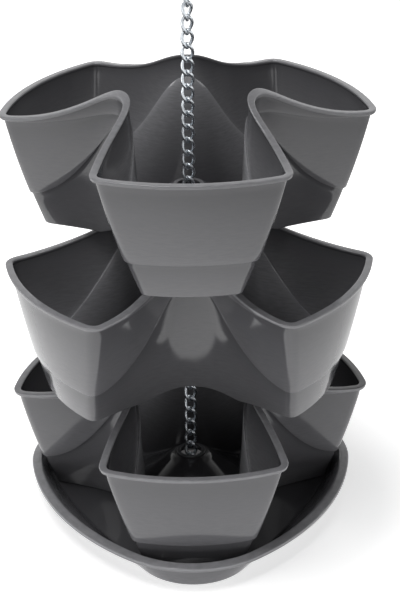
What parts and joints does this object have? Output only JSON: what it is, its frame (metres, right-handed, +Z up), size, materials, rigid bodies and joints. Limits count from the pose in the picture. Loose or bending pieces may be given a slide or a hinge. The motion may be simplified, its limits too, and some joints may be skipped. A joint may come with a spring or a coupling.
{
  "type": "stacking herb planter",
  "caption": "Stacking planter: trefoil pots turned half a turn from tier to tier on a rounded triangular saucer, with a twisted-link chain up the middle ending in a hook.",
  "frame": {"origin": "on the ground under the middle of the saucer", "axes": "+Z up along the chain, -Y towards the front lobe of the top and bottom pots"},
  "size_m": [0.3116, 0.3052, 0.4993],
  "materials": {
    "planter_plastic": "dark grey satin moulded polypropylene",
    "stop_plastic": "black satin moulded plastic",
    "zinc_steel": "bright zinc-plated steel wire"
  },
  "bodies": {
    "saucer": {"saucer": "planter_plastic"},
    "bottom_pot": {"bottom_pot": "planter_plastic"},
    "middle_pot": {"middle_pot": "planter_plastic"},
    "top_pot": {"top_pot": "planter_plastic"},
    "chain": {"chain_stop": "stop_plastic", "stop_pin": "zinc_steel", "chain_link_01": "zinc_steel", "chain_link_02": "zinc_steel", "chain_link_03": "zinc_steel", "chain_link_04": "zinc_steel", "chain_link_05": "zinc_steel", "chain_link_06": "zinc_steel", "chain_link_07": "zinc_steel", "chain_link_08": "zinc_steel", "chain_link_09": "zinc_steel", "chain_link_10": "zinc_steel", "chain_link_11": "zinc_steel", "chain_link_12": "zinc_steel", "chain_link_13": "zinc_steel", "chain_link_14": "zinc_steel", "chain_link_15": "zinc_steel", "chain_link_16": "zinc_steel", "chain_link_17": "zinc_steel", "chain_link_18": "zinc_steel", "chain_link_19": "zinc_steel", "chain_link_20": "zinc_steel", "chain_link_21": "zinc_steel", "chain_link_22": "zinc_steel", "chain_link_23": "zinc_steel", "chain_link_24": "zinc_steel", "chain_link_25": "zinc_steel", "chain_link_26": "zinc_steel", "chain_link_27": "zinc_steel", "chain_link_28": "zinc_steel", "chain_link_29": "zinc_steel", "chain_link_30": "zinc_steel", "chain_link_31": "zinc_steel", "chain_link_32": "zinc_steel", "chain_link_33": "zinc_steel", "chain_link_34": "zinc_steel", "chain_link_35": "zinc_steel", "chain_link_36": "zinc_steel", "chain_link_37": "zinc_steel", "chain_link_38": "zinc_steel", "chain_link_39": "zinc_steel", "chain_link_40": "zinc_steel"},
    "hook": {"hook": "zinc_steel"}
  },
  "joints": [
    {"name": "bottom_pot_lift", "type": "slide", "parent": "saucer", "child": "bottom_pot", "axis": [0, 0, 1], "range_m": [0, 0.04]},
    {"name": "middle_pot_lift", "type": "slide", "parent": "bottom_pot", "child": "middle_pot", "axis": [0, 0, 1], "range_m": [0, 0.05]},
    {"name": "top_pot_lift", "type": "slide", "parent": "middle_pot", "child": "top_pot", "axis": [0, 0, 1], "range_m": [0, 0.055]},
    {"name": "chain_pull", "type": "slide", "parent": "saucer", "child": "chain", "axis": [0, 0, 1], "range_m": [0, 0.0289]},
    {"name": "hook_swing", "type": "hinge", "parent": "chain", "child": "hook", "pos_m": [0, 0, 0.473], "axis": [0.9659, 0.2588, 0], "range_deg": [-35, 35]}
  ]
}
